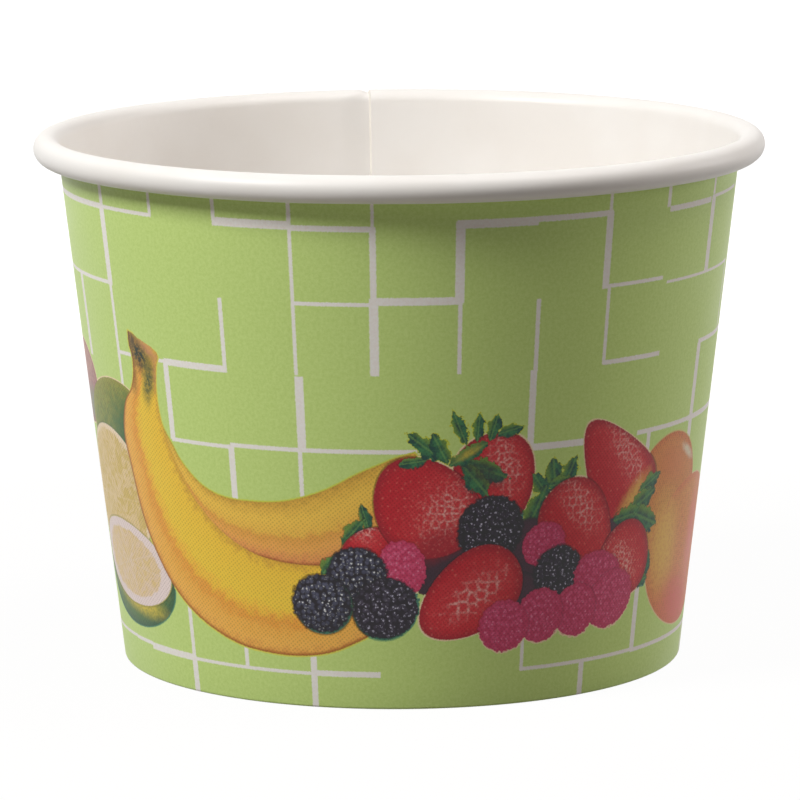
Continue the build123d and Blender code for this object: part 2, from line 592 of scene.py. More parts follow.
# A bent fruit between two curves, read round the centre of its bend and cut off square at its stem
def drawBanana(banana, taken, x, y):
    along = timesPlus(maths("ARCTAN2", y, x), 1 / (2 * math.radians(bananaTurn)), 0.5)
    radius = lengthOf(x, y)
    edges = []
    for shares in (banana["outer"], banana["inner"]):
        curve = addNode(along.id_data, "ShaderNodeFloatCurve", {"Value": along})
        points = curve.mapping.curves[0].points
        points[0].location, points[-1].location = shares[0], shares[-1]
        for share in shares[1:-1]:
            points.new(*share)
        curve.mapping.update()
        edges.append(curve.outputs[0])
    outer, inner = edges
    outside = minus(radius, outer)
    inside = minus(inner, radius)
    stemSide = timesPlus(along, -1.3, 1.3 * banana["stem"])
    farSide = timesPlus(along, 1.3, -1.3 * banana["tip"])
    sides = highest(outside, inside)
    beyond = highest(sides, highest(stemSide, farSide))
    thick = highest(minus(outer, inner), 0.01)
    across = maths("DIVIDE", times(inside, -1), thick)
    across = timesPlus(minus(taken["Grain"], 0.5), 0.08, across)
    ramp = addNode(across.id_data, "ShaderNodeValToRGB", {0: across})
    elements = ramp.color_ramp.elements
    shades = banana["shades"]
    elements[0].position, elements[0].color = shades[0]
    elements[1].position, elements[1].color = shades[-1]
    for position, colour in shades[1:-1]:
        elements.new(position).color = colour
    neck = rise(along, banana["stem"] + 0.13, banana["stem"] + 0.02)
    colour = mixColour(times(neck, 0.45), ramp.outputs[0], dye(166, 136, 62))
    colour = mixColour(rise(outside, -0.014, 0.0), colour, dye(156, 92, 44))
    return layOver(taken, maths("ADD", beyond, 1), colour)


# Both edges of each banana are (share of its turn, reach), and its shades run across it from the inner edge
bananas = {
    "bananaFront": {
        "box": ((-46, 4), (5, 49)), "stem": 0.047, "tip": 0.97,
        "outer": [(0, 0.622), (0.077, 0.622), (0.102, 0.608), (0.129, 0.606), (0.155, 0.614), (0.184, 0.64),
                  (0.207, 0.685), (0.243, 0.728), (0.281, 0.757), (0.33, 0.77), (0.367, 0.786), (0.409, 0.81),
                  (0.447, 0.828), (0.497, 0.849), (0.555, 0.87), (0.615, 0.882), (0.667, 0.886),
                  (0.727, 0.888), (0.776, 0.884), (0.828, 0.881), (0.893, 0.873), (0.96, 0.85), (1, 0.84)],
        "inner": [(0, 0.62), (0.045, 0.602), (0.054, 0.55), (0.06, 0.503), (0.077, 0.474), (0.111, 0.481),
                  (0.188, 0.496), (0.232, 0.503), (0.303, 0.511), (0.405, 0.519), (0.507, 0.535),
                  (0.602, 0.55), (0.724, 0.567), (0.842, 0.576), (1, 0.6)],
        "shades": [(0.0, dye(206, 160, 62)), (0.1, dye(234, 189, 66)), (0.46, dye(239, 194, 68)),
                   (0.56, dye(234, 182, 68)), (0.65, dye(219, 151, 64)), (0.77, dye(226, 170, 77)),
                   (0.9, dye(228, 174, 84)), (1.0, dye(212, 150, 74))],
    },
    "bananaBack": {
        "box": ((-36, 16), (3, 40)), "stem": 0.15, "tip": 0.705,
        "outer": [(0, 0.62), (0.174, 0.62), (0.226, 0.68), (0.276, 0.74), (0.321, 0.79), (0.374, 0.83),
                  (0.44, 0.856), (0.5, 0.874), (0.532, 0.873), (0.628, 0.85), (0.7, 0.72), (0.76, 0.69),
                  (1, 0.69)],
        "inner": [(0, 0.56), (0.14, 0.57), (0.182, 0.6), (0.205, 0.62), (0.229, 0.638), (0.251, 0.659),
                  (0.277, 0.677), (0.3, 0.691), (0.324, 0.7), (0.353, 0.704), (0.413, 0.7), (0.463, 0.697),
                  (0.501, 0.691), (0.552, 0.681), (0.604, 0.67), (0.643, 0.672), (0.676, 0.679), (0.72, 0.7),
                  (1, 0.7)],
        "shades": [(0.0, dye(190, 148, 62)), (0.1, dye(214, 172, 72)), (0.28, dye(228, 188, 80)),
                   (0.5, dye(224, 180, 78)), (0.6, dye(214, 154, 72)), (0.75, dye(224, 164, 84)),
                   (0.9, dye(214, 144, 84)), (1.0, dye(190, 104, 70))],
    },
}

# Lines of the pattern, in millimetres: round the wall from the front's middle, and up the wall
uprightStrokes = [   # (place, from, to, width)
    (-52.1, 41.7, 52.5, 1.1), (-41.9, 62.6, 68, 0.75), (-42, 52.3, 62.7, 1.1), (-42, 38.6, 52.5, 0.62),
    (-32.1, 62.5, 68, 0.5), (-32, 33.5, 43.9, 0.88), (-32.2, 4.5, 11.8, 0.69), (-32.2, -1, 4.8, 1),
    (-22.4, 62.7, 68, 0.5), (-22.4, 43.2, 52.8, 0.56), (-22.4, 23.8, 33.8, 0.88), (-22.5, 4.5, 8.9, 0.62),
    (-12.8, 62.7, 68, 0.5), (-12.8, 43.5, 62.5, 0.44), (-12.5, 33.9, 43.3, 1.1),
    (-12.8, 23.8, 34.1, 0.56), (-12.3, -1, 7.9, 0.88), (-3.1, 62.6, 68, 0.38), (-3.1, 53, 62.5, 0.75),
    (-3.1, 43.6, 53.5, 1.1), (7, 52.8, 63.2, 1.1), (7.1, 43.7, 53, 0.5), (16.8, 43.5, 52.8, 0.56),
    (16.6, 33.4, 43.7, 0.88), (16.8, 4.5, 9.9, 0.5), (26, 62.8, 68, 0.44), (26, 53.3, 63.1, 1),
    (26.6, 43.5, 53.5, 0.5), (26.7, -1, 4.6, 0.88), (35.7, 62.7, 68, 0.62), (36.1, 27.7, 33.9, 0.75),
    (36.9, 4.5, 15.8, 1), (46.6, 63, 68, 0.62), (46.7, 52.8, 62.8, 1.2), (47.3, 27.7, 43.5, 1.2),
    (56.7, 43.7, 53.1, 0.56), (57.6, -1, 4.4, 0.75), (-61.1, 52.7, 62.8, 0.88), (-61.7, 4.3, 23.7, 0.62),
]
levelStrokes = [   # (place, from, to, width)
    (62.5, -63.6, -41.6, 0.75), (62.5, -41.9, -31.9, 0.5), (62.6, -22.6, -12.6, 1.1),
    (62.3, -12.9, -2.8, 0.75), (62.8, 6.6, 16.3, 1.1), (63, 16.2, 26.4, 0.75), (62.4, 36, 45.8, 0.75),
    (62.7, 46.2, 56.9, 0.44), (52.6, -63.6, -41.9, 0.5), (52.7, -12.9, -3.2, 0.5),
    (53.1, -3.4, 7.4, 1), (53.6, 25.9, 35.8, 0.5), (52.9, 36.7, 57, 0.38), (43.6, -42.1, -38.5, 0.5),
    (43.6, -35.6, -31.9, 0.44), (43.6, -32.2, -22.3, 0.88), (43.7, 26.5, 36.6, 0.62),
    (43.7, 46.9, 63.6, 0.62), (33.5, -32.2, -22.3, 0.5), (33.8, -22.5, 4.9, 0.56),
    (33.7, 16.4, 25.7, 0.88), (33.7, 33.6, 46.2, 0.62), (33.7, 46.1, 63.6, 0.75),
    (5, -63.6, -47.6, 0.44), (4.9, -47.7, -42.2, 0.5), (4.6, -42.4, -31.9, 0.88), (4.5, -32.3, -12.6, 0.44),
    (4.6, -12.5, -3, 0.75), (4.6, 16.6, 36.7, 0.5), (4.5, 36.6, 63.6, 0.56),
]

# Inks of the figures
limeGreen = {"Lit": dye(134, 138, 54), "Deep": dye(76, 108, 48), "Blush": dye(142, 142, 60), "Outline": 0.3}
duskRed = {"Lit": dye(186, 146, 134), "Deep": dye(150, 112, 112), "Blush": dye(160, 110, 104)}
peachBack = {"Lit": dye(206, 140, 78), "Deep": dye(200, 133, 70), "Blush": dye(196, 114, 66),
             "Fringe": dye(196, 190, 120), "Outline": 0.2}
peachFront = {"Lit": dye(206, 142, 76), "Deep": dye(212, 130, 79), "Blush": dye(204, 121, 75),
              "Fringe": dye(214, 196, 150), "Outline": 0.0}
paleHalf = {"Rind": dye(224, 208, 184), "Pith": dye(226, 206, 176), "Flesh": dye(200, 174, 98),
            "Juice": dye(214, 190, 142), "FleshEnd": 0.93, "PithEnd": 0.985, "Fringe": dye(150, 150, 90),
            "Outline": 0.3}
limeHalf = {"Rind": dye(176, 164, 86), "Pith": dye(222, 206, 202), "Flesh": dye(212, 186, 130),
            "Juice": dye(216, 192, 164), "FleshEnd": 0.78, "PithEnd": 0.975, "Fringe": dye(150, 150, 90),
            "Outline": 0.3}
limeShell = {"Lit": dye(146, 152, 64), "Deep": dye(70, 104, 52), "Blush": dye(38, 80, 56),
             "Fringe": dye(60, 120, 96)}
shadowBerry = {"Lit": dye(60, 34, 46), "Deep": dye(44, 28, 38), "Blush": dye(38, 26, 34),
               "Fringe": dye(70, 40, 46)}
tealFringe, limeFringe = dye(70, 122, 104), dye(188, 194, 56)
darkFringe = dye(40, 52, 40)
tealShade = {"Lit": tealFringe, "Deep": tealFringe, "Blush": dye(60, 112, 92), "Fringe": dye(118, 160, 104)}
darkBead = {"Deep": dye(18, 13, 20), "Bead": dye(60, 54, 68), "Spot": dye(206, 204, 224), "Gloss": 1.0,
            "Fringe": tealFringe}
blueBead = {**darkBead, "Bead": dye(78, 80, 100), "Spot": dye(226, 232, 250)}
deepBead = {**darkBead, "Deep": dye(8, 5, 8), "Bead": dye(40, 32, 45)}
pinkBead = {"Deep": dye(176, 54, 88), "Bead": dye(200, 82, 118), "Spot": dye(238, 160, 188), "Gloss": 0.6,
            "Outline": 0.25}
roseBead = {**pinkBead, "Deep": dye(184, 58, 92), "Bead": dye(206, 88, 124)}
leafy = {"Fringe": limeFringe}


# What a soft patch takes
def tint(red, green, blue, share=1.0):
    return {"Tint": dye(red, green, blue), "Share": share}


# Figures from the back of the heap to the front: kind, centre, half size, turn and what else it takes
figures = [
    ("roundFruit", (-58.6, 37.4), (7.4, 5.6), 0, duskRed),
    ("softPatch", (-55.6, 34.4), (5.6, 3.6), 0, tint(120, 136, 112, 0.9)),
    ("roundFruit", (-46.4, 33.4), (9.6, 6.1), 8, limeGreen),
    ("softPatch", (-42.4, 32.4), (5.6, 7.0), 14, tint(48, 88, 46)),
    ("citrusHalf", (-49.6, 23.4), (11.0, 9.5), 3, paleHalf),
    ("roundFruit", (-46.6, 13.4), (11.6, 6.6), -2, limeShell),
    ("softPatch", (-44.6, 9.9), (9.6, 2.0), -4, tint(206, 184, 66, 0.9)),
    ("citrusHalf", (-46.9, 15.1), (11.5, 5.5), -4, limeHalf),
    ("roundFruit", (42.4, 24.2), (8.8, 8.3), 0, peachBack),
    ("roundFruit", (51.6, 15.6), (13.2, 9.9), -2, peachFront),
    ("softPatch", (42.8, 17.6), (5.8, 9.4), 8, tint(216, 174, 90)),
    ("softPatch", (50.4, 8.6), (10.0, 5.4), -14, tint(204, 104, 92)),
    ("softPatch", (55.0, 17.0), (4.6, 9.0), 0, tint(210, 118, 104, 0.9)),
    ("softPatch", (42.6, 28.6), (7.5, 3.6), -14, tint(200, 120, 74, 0.7)),
    ("softPatch", (47.8, 29.2), (3.6, 0.9), -28, tint(216, 208, 184, 0.9)),
    ("bananaBack", (-18.8, 61.2), (49.4, 49.4), -80, {"Fringe": dye(190, 200, 76), "Outline": 0.1}),
    ("bananaFront", (-14.8, 41.6), (39.6, 39.6), -133, {"Fringe": dye(204, 204, 84), "Outline": 0.1}),
    ("softPatch", (-35.4, 44.8), (3.4, 1.3), -35, tint(198, 142, 98)),
    ("softPatch", (-34.3, 41.8), (0.8, 3.4), -3, tint(192, 142, 86, 0.9)),
    ("softPatch", (-38.9, 40.9), (1.2, 3.4), -4, tint(140, 94, 38)),
    ("softPatch", (-38.6, 45.8), (1.3, 1.6), 0, tint(112, 84, 52)),
    ("softPatch", (-37.1, 43.7), (4.2, 2.5), -50, tint(22, 42, 34)),
    ("softPatch", (-35.8, 40.4), (4.4, 1.6), 75, tint(66, 78, 44)),
    ("strawberry", (12.3, 29.8), (5.5, 6.2), 16, {"GlintX": 0.27, "GlintY": 0.25, "Taper": 0.22}),
    ("leaf", (7.3, 36.8), (2.3, 0.85), 112, leafy),
    ("leaf", (9.7, 36.8), (2.0, 0.7), 86, leafy),
    ("leaf", (11.7, 36.6), (2.0, 0.8), 74, leafy),
    ("leaf", (13.8, 36.1), (1.8, 0.75), 14, leafy),
    ("leaf", (20.3, 29.6), (2.5, 1.3), 98, leafy),
    ("leaf", (22.5, 29.8), (2.3, 1.2), 66, leafy),
    ("leaf", (21.2, 28.6), (2.2, 0.9), 8, leafy),
    ("leaf", (18.4, 28.6), (2.2, 1.0), 128, {"Fringe": dye(196, 200, 76)}),
    ("leaf", (17.8, 25.3), (3.2, 1.5), 66, leafy),
    ("strawberry", (30.1, 29.5), (5.3, 8.2), 217, {"GlintX": -0.55, "GlintY": 0.0, "Taper": 0.6}),
    ("softPatch", (34.2, 25.4), (5.4, 2.2), 46, tint(214, 170, 92)),
    ("roundFruit", (31.6, 21.4), (2.8, 1.7), 0, shadowBerry),
    ("leaf", (37.4, 26.7), (2.6, 1.0), 22, {"Fringe": dye(206, 190, 110)}),
    ("leaf", (36.0, 24.4), (3.2, 1.4), 24, leafy),
    ("leaf", (33.7, 22.9), (3.4, 1.3), 6, leafy),
    ("leaf", (37.2, 21.9), (3.0, 1.6), -22, leafy),
    ("leaf", (38.4, 15.4), (2.1, 0.9), 78, {"Fringe": tealFringe}),
    ("leaf", (37.6, 13.7), (1.5, 0.8), 10, {"Fringe": tealFringe}),
    ("leaf", (-4.6, 25.1), (1.8, 0.75), 106, leafy),
    ("leaf", (-6.3, 23.3), (2.3, 1.0), 48, leafy),
    ("leaf", (-9.6, 18.9), (1.8, 0.9), 52, leafy),
    ("roundFruit", (5.6, 20.0), (6.4, 5.2), 0, shadowBerry),
    ("roundFruit", (17.2, 18.4), (4.8, 6.0), 0, shadowBerry),
    ("roundFruit", (27.0, 17.4), (5.4, 3.4), 0, shadowBerry),
    ("roundFruit", (14.6, 13.8), (5.6, 3.8), 0, shadowBerry),
    ("strawberry", (-4.4, 21.3), (3.7, 2.4), 26, {"GlintX": 0.2, "GlintY": 0.9, "Taper": 0.1}),
    ("strawberry", (3.0, 26.2), (7.6, 6.2), -36,
     {"GlintX": 0.34, "GlintY": 0.2, "Taper": 0.16, "Specks": 0.4}),
    ("softPatch", (4.4, 21.6), (6.4, 2.8), 24, tint(140, 36, 46, 0.8)),
    ("leaf", (1.3, 32.4), (1.9, 0.7), 8, leafy),
    ("leaf", (3.1, 34.3), (3.0, 1.1), -38, leafy),
    ("leaf", (4.9, 34.1), (2.2, 1.0), -64, leafy),
    ("leaf", (10.6, 31.2), (3.4, 1.3), -21, {"Fringe": darkFringe}),
    ("leaf", (9.5, 29.8), (2.7, 1.2), -50, {"Fringe": darkFringe}),
    ("softPatch", (10.6, 30.7), (4.0, 2.0), -30, tint(34, 34, 34, 0.85)),
    ("leaf", (8.5, 33.3), (3.0, 0.95), 30, {"Fringe": dye(184, 172, 84)}),
    ("softPatch", (8.5, 33.4), (2.7, 0.7), 30, tint(182, 168, 74, 0.9)),
    ("beadBerry", (11.7, 23.4), (4.5, 4.3), 30, deepBead),
    ("strawberry", (24.6, 22.6), (5.4, 6.9), 40, {"GlintX": 0.36, "GlintY": 0.3, "Taper": 0.2}),
    ("beadBerry", (19.3, 20.8), (3.2, 2.9), 20, pinkBead),
    ("strawberry", (33.7, 17.1), (5.2, 5.2), 45,
     {"GlintX": -0.1, "GlintY": 0.1, "Taper": 0.1, "Specks": 0.9}),
    ("beadBerry", (0.0, 18.6), (3.2, 3.7), 10, roseBead),
    ("strawberry", (9.1, 14.8), (5.4, 7.7), -56,
     {"GlintX": 0.05, "GlintY": 0.1, "Taper": 0.22, "Wide": 1.0, "Specks": 0.15}),
    ("beadBerry", (21.7, 16.9), (3.7, 3.5), 10, deepBead),
    ("beadBerry", (28.6, 15.7), (4.3, 3.2), -14, pinkBead),
    ("beadBerry", (31.2, 12.3), (4.4, 3.7), 24, pinkBead),
    ("beadBerry", (24.9, 11.6), (3.6, 3.5), 0, pinkBead),
    ("beadBerry", (19.3, 11.5), (3.6, 3.5), 40, pinkBead),
    ("beadBerry", (14.0, 10.5), (3.6, 3.4), 0, pinkBead),
    ("beadBerry", (-5.9, 17.7), (4.0, 3.7), 0, blueBead),
    ("roundFruit", (-2.3, 13.15), (4.3, 3.9), 14, tealShade),
    ("beadBerry", (-2.2, 13.4), (4.4, 3.9), 14, darkBead),
    ("roundFruit", (-10.6, 13.62), (4.0, 3.8), 0, tealShade),
    ("beadBerry", (-10.8, 13.9), (4.1, 3.8), 0, blueBead),
]

printLook = {
    "repeat": 2,               # times the print goes round
    "margin": 65.72,           # where the unprinted strip under the roll starts
    "hemEnd": -5.0,            # where the print ends on the folded-in flap
    "beyond": 0.6,             # how far past those two the printed zones reach
    "dotPitch": 0.42,          # of the dot screen
    "dotTurns": (38, 128),     # its two directions
    "seedPitch": 0.95,         # of the strawberries' seeds
    "netPitch": 0.95,          # and of the shine between them
    "widePitch": 1.3,          # the same on the front strawberry
    "beadPitch": 0.68,         # of the berries' beads
    "glintPitch": 0.5,         # and of their glints
    "rough": 0.2,              # unevenness of the figures' edges
    "edge": 0.11,              # width of their fringe
    "columns": 6,              # zones round one repeat, each with only the ink that reaches it
    "split": 47.4,             # height between the lower and the upper zones
    "overlap": 2.4,            # how far past its edges a zone looks for ink
}
printPeriod = math.tau * midRadius / printLook["repeat"]
printTop = printLook["margin"] + printLook["beyond"]
printFoot = printLook["hemEnd"] - printLook["beyond"]


# A zone's low and high corner
def zoneSpan(column, row):
    step = printPeriod / printLook["columns"]
    low = column * step - printPeriod / 2
    heights = ((printFoot, printLook["split"]), (printLook["split"], printTop))[row]
    return (low, heights[0]), (low + step, heights[1])


# How far a figure or line has to be moved round the wall to reach a zone, or None
def shiftInto(zone, low, high):
    (zoneLeft, zoneFoot), (zoneRight, zoneTop) = zone
    gap = printLook["overlap"]
    if low[1] > zoneTop + gap or high[1] < zoneFoot - gap:
        return None
    for shift in (0, printPeriod, -printPeriod):
        if low[0] + shift < zoneRight + gap and high[0] + shift > zoneLeft - gap:
            return shift
    return None


# The low and high corner of what a figure covers
def figureBox(kind, centre, size, turn):
    if kind in bananas:
        return bananas[kind]["box"]
    cosine, sine = cosineAndSine(turn)
    reach = [1.15 * math.hypot(size[0] * a, size[1] * b) for a, b in ((cosine, sine), (sine, cosine))]
    return (centre[0] - reach[0], centre[1] - reach[1]), (centre[0] + reach[0], centre[1] + reach[1])


def makePrintGroup(name, zone):
    tree, taken, given = makeGroup(name, {"Place": "Vector"}, {"Color": "Color"})
    x, y, _ = addNode(tree, "ShaderNodeSeparateXYZ", {0: taken["Place"]}).outputs
    middle = (zone[0][0] + zone[1][0]) / 2
    x = maths("WRAP", x, middle + printPeriod / 2, middle - printPeriod / 2)
    flat = addNode(tree, "ShaderNodeCombineXYZ", {0: x, 1: y}).outputs[0]

    def noiseAt(scale, detail, roughness=0.5, distortion=0.0):
        inputs = {"Vector": flat, "Scale": scale, "Detail": detail, "Roughness": roughness,
                  "Distortion": distortion}
        return addNode(tree, "ShaderNodeTexNoise", inputs, noise_dimensions="2D").outputs

    def cellsAt(pitch, randomness, feature="F1"):
        inputs = {"Vector": flat, "Scale": 1 / pitch, "Randomness": randomness}
        cells = addNode(tree, "ShaderNodeTexVoronoi", inputs, voronoi_dimensions="2D", feature=feature)
        return cells.outputs["Distance"]

    inks = [(figure, shiftInto(zone, *figureBox(*figure[:4]))) for figure in figures]
    inks = [(figure, shift) for figure, shift in inks if shift is not None]
    kinds = {figure[0] for figure, shift in inks}
    mottle = rise(noiseAt(2.2, 4.0, 0.8)[0], 0.28, 0.72)
    stray = addNode(tree, "ShaderNodeSeparateColor", {0: noiseAt(5.0, 1.0)[1]}).outputs
    placeX = timesPlus(minus(stray[0], 0.5), printLook["rough"], x)
    placeY = timesPlus(minus(stray[1], 0.5), printLook["rough"], y)
    shared, extra = {"X": placeX, "Y": placeY}, {}
    if kinds:
        shared["Grain"] = rise(noiseAt(0.9, 3.0, 0.6)[0], 0.3, 0.7)
        shared["Sparkle"] = rise(noiseAt(1.9, 2.0, 0.8)[0], 0.44, 0.64)
    if "citrusHalf" in kinds:
        streaks = noiseAt(0.55, 4.0, distortion=1.5)[0]
        extra["citrusHalf"] = {"Streaks": rise(streaks, 0.32, 0.68)}
    if kinds & {"strawberry", "beadBerry"}:
        glints = cellsAt(printLook["glintPitch"], 1.0)
    if "strawberry" in kinds:
        extra["strawberry"] = {
            "Seeds": cellsAt(printLook["seedPitch"], 0.6), "Spots": glints, "Specks": 0.25, "Wide": 0.0,
            "Net": cellsAt(printLook["netPitch"], 0.8, feature="DISTANCE_TO_EDGE"),
            "WideNet": cellsAt(printLook["widePitch"], 0.5, feature="DISTANCE_TO_EDGE")}
    if "beadBerry" in kinds:
        extra["beadBerry"] = {"Beads": cellsAt(printLook["beadPitch"], 0.75), "Spots": glints}
    if kinds:
        waves = []
        for turn in printLook["dotTurns"]:
            cosine, sine = cosineAndSine(turn)
            along = timesPlus(placeX, cosine, times(placeY, sine))
            waves.append(maths("SINE", times(along, math.tau / printLook["dotPitch"])))
        shared["Dots"] = rise(maths("ADD", *waves), 0.2, 1.4)

    # Lines on green
    nearest = 1.0
    for strokes, axes in ((uprightStrokes, "XY"), (levelStrokes, "YX")):
        for at, low, high, width in strokes:
            box = ((at, low), (at, high)) if axes == "XY" else ((low, at), (high, at))
            moved = shiftInto(zone, *box)
            if moved is None:
                continue
            middles = {axes[0]: at, axes[1]: (low + high) / 2}
            halves = {"Half" + axes[0]: width / 2, "Half" + axes[1]: (high - low) / 2}
            nearest = useGroup(tree, strokeGroup, {
                "X": placeX, "Y": placeY, "MiddleX": middles["X"] + moved, "MiddleY": middles["Y"], **halves,
                "Nearest": nearest})["Nearest"]
    green = mixColour(mottle, dye(177, 201, 115), dye(189, 210, 129))
    line = mixColour(mottle, dye(222, 216, 210), dye(231, 226, 221))
    colour = mixColour(rise(nearest, 0.08, -0.08), green, line)

    # The heap of fruit
    painted = 0.0
    for (kind, centre, size, turn, own), moved in inks:
        place = figurePlace((centre[0] + moved, centre[1]), size, turn)
        inputs = {"Under": colour, "Fringe": dye(226, 206, 170), "Outline": 0.6, **place, **shared,
                  **extra.get(kind, {}), **own}
        made = useGroup(tree, figureGroups[kind], {**inputs, "Painted": painted})
        colour, painted = made["Color"], made["Painted"]

    # Where the sheet stays white
    belowRoll = rise(y, printLook["margin"] + 0.1, printLook["margin"])
    printed = times(belowRoll, rise(y, printLook["hemEnd"] - 0.15, printLook["hemEnd"]))
    feed(given["Color"], mixColour(printed, whiteInk, colour))
    return tree


# The number of a printed face's zone, from its place on the blank, or None where the sheet stays white
def zoneOf(x, y):
    if not printFoot < y < printTop:
        return None
    share = ((x + printPeriod / 2) / printPeriod) % 1
    return min(int(share * printLook["columns"]), printLook["columns"] - 1) * 2 + (y > printLook["split"])


fibre = {
    "scale": 900.0,            # of the fibres, per metre
    "cloudScale": 90.0,        # of the faint clouds in colour and gloss
    "height": 0.00006,
    "glossChange": 0.16,       # how much the clouds change the roughness
}


# Paper fibre under a coating: a height for bump and a faint cloudiness
def makeFibreGroup():
    tree, taken, given = makeGroup("paperFibre", {"Place": "Vector", "Size": "Float"},
                                   {"Height": "Float", "Cloud": "Float"})
    scaled = addNode(tree, "ShaderNodeVectorMath", {0: taken["Place"], "Scale": taken["Size"]},
                     operation="SCALE").outputs[0]
    inputs = {"Vector": scaled, "Scale": fibre["scale"], "Detail": 3.0, "Roughness": 0.6}
    fibres = addNode(tree, "ShaderNodeTexNoise", inputs).outputs[0]
    inputs = {"Vector": scaled, "Scale": fibre["cloudScale"], "Detail": 2.0}
    clouds = addNode(tree, "ShaderNodeTexNoise", inputs).outputs[0]
    feed(given["Height"], timesPlus(clouds, 0.6, fibres))
    feed(given["Cloud"], clouds)
    return tree


def makeMaterial(name):
    material = bpy.data.materials.new(name)
    material.use_nodes = True
    tree = material.node_tree
    tree.nodes.clear()
    shader = tree.nodes.new("ShaderNodeBsdfPrincipled")
    output = tree.nodes.new("ShaderNodeOutputMaterial")
    tree.links.new(shader.outputs[0], output.inputs["Surface"])
    place = addNode(tree, "ShaderNodeTexCoord").outputs["Object"]
    return material, tree, shader, place


boards = {
    "printedBoard": {"roughness": 0.46, "grain": 0.35, "gloss": 0.35},
    "whiteBoard": {"light": ink(250, 247, 243), "dark": ink(247, 243, 238), "roughness": 0.42, "grain": 0.25,
                   "gloss": 0.4},
    "rawEdge": {"light": ink(234, 229, 222), "dark": ink(224, 216, 206), "roughness": 0.85, "grain": 1.0,
                "gloss": 0.4},
    "discBoard": {"light": ink(247, 242, 237), "dark": ink(241, 235, 229), "roughness": 0.6, "grain": 0.5,
                  "gloss": 0.4},
}


# The finish of a coated board: cloudy colour, uneven gloss and a fine grain
def boardFinish(tree, shader, place, board):
    made = useGroup(tree, fibreGroup, {"Place": place, "Size": 1.0})
    if "light" in board:
        cloudy = mixColour(rise(made["Cloud"], 0.3, 0.7), board["dark"], board["light"])
        feed(shader.inputs["Base Color"], cloudy)
    change = fibre["glossChange"]
    feed(shader.inputs["Roughness"], timesPlus(made["Cloud"], change, board["roughness"] - change / 2))
    inputs = {"Height": made["Height"], "Strength": board["grain"], "Distance": fibre["height"]}
    feed(shader.inputs["Normal"], addNode(tree, "ShaderNodeBump", inputs).outputs[0])
    shader.inputs["Specular IOR Level"].default_value = board["gloss"]


def makePrintedBoard(name, zone):
    material, tree, shader, place = makeMaterial("printedBoard" + name)
    blank = addNode(tree, "ShaderNodeUVMap", uv_map="blank").outputs[0]
    colours = useGroup(tree, makePrintGroup("fruitPrint" + name, zone), {"Place": blank})
    feed(shader.inputs["Base Color"], colours["Color"])
    boardFinish(tree, shader, place, boards["printedBoard"])
    return material


def makeWhiteBoard(name):
    material, tree, shader, place = makeMaterial(name)
    boardFinish(tree, shader, place, boards[name])
    return material


strokeGroup = makeStrokeGroup()
figureKinds = {   # what draws each, and the inputs that only it has
    "roundFruit": (drawRoundFruit, dict.fromkeys(["Lit", "Deep", "Blush"], "Color")),
    "strawberry": (drawStrawberry, dict.fromkeys([
        "Taper", "Seeds", "Net", "WideNet", "Wide", "Spots", "Specks", "GlintX", "GlintY"], "Float")),
    "beadBerry": (drawBeadBerry, {
        "Beads": "Float", "Spots": "Float", "Deep": "Color", "Bead": "Color", "Spot": "Color",
        "Gloss": "Float"}),
    "leaf": (drawLeaf, {}),
    "citrusHalf": (drawCitrusHalf, {
        **dict.fromkeys(["Rind", "Pith", "Flesh", "Juice"], "Color"),
        **dict.fromkeys(["FleshEnd", "PithEnd", "Streaks"], "Float")}),
    "softPatch": (drawSoftPatch, {"Tint": "Color", "Share": "Float"}),
    **{name: (partial(drawBanana, banana), {}) for name, banana in bananas.items()},
}
figureGroups = {name: makeFigureGroup(name, *kind) for name, kind in figureKinds.items()}
fibreGroup = makeFibreGroup()
whiteInk = ink(248, 244, 242)   # the sheet's strips without print
printedBoards = [makePrintedBoard("%d%s" % (column + 1, level), zoneSpan(column, row))
                 for column in range(printLook["columns"]) for row, level in enumerate(("Low", "High"))]
whiteBoard, rawEdge, discBoard = (makeWhiteBoard(name) for name in ("whiteBoard", "rawEdge", "discBoard"))
print("materials made")

cupWall = makeSideWall()
for material in (whiteBoard, rawEdge, *printedBoards):
    cupWall.data.materials.append(material)
cupFloor = makeFloorDisc()
cupFloor.data.materials.append(discBoard)
for piece, node, slotName in (
        (cupWall, "side_wall", "printed_board"), (cupFloor, "bottom_disc", "white_board")):
    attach(piece, "root")
    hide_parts(node)
print("wall faces", len(cupWall.data.polygons), "disc faces", len(cupFloor.data.polygons))

# Camera, fitted to the photograph
shot = {
    "distance": 720.85,
    "elevation": 9.7235,
    "focalPixels": 5502.2,
    "imageSize": 800,
    "sensor": 36.0,            # its width, in millimetres
    "middlePixel": (400.66, 390.41),   # where the cup's middle, half way up, is seen
    "pixelsPerMm": 7.633,
    "roll": -0.376,
}


def placeCamera():
    camera = bpy.data.cameras.new("camera")
    camera.sensor_width = shot["sensor"]
    camera.lens = shot["focalPixels"] * shot["sensor"] / shot["imageSize"]
    camera.clip_start, camera.clip_end = 0.05, 20
    holder = bpy.data.objects.new("camera", camera)
    bpy.context.collection.objects.link(holder)
    level, steep = cosineAndSine(shot["elevation"])
    middle = wall["height"] / 2
    stand = Vector((0, -shot["distance"] * level, middle + shot["distance"] * steep))
    offRight = (shot["middlePixel"][0] - shot["imageSize"] / 2) / shot["pixelsPerMm"]
    offUp = (shot["imageSize"] / 2 - shot["middlePixel"][1]) / shot["pixelsPerMm"]
    aim = Vector((-offRight, 0, middle - offUp))
    turn = (aim - stand).to_track_quat("-Z", "Y") @ Quaternion((0, 0, 1), math.radians(shot["roll"]))
    holder.location = stand * metresPerMm
    holder.rotation_mode = "QUATERNION"
    holder.rotation_quaternion = turn
    bpy.context.scene.camera = holder


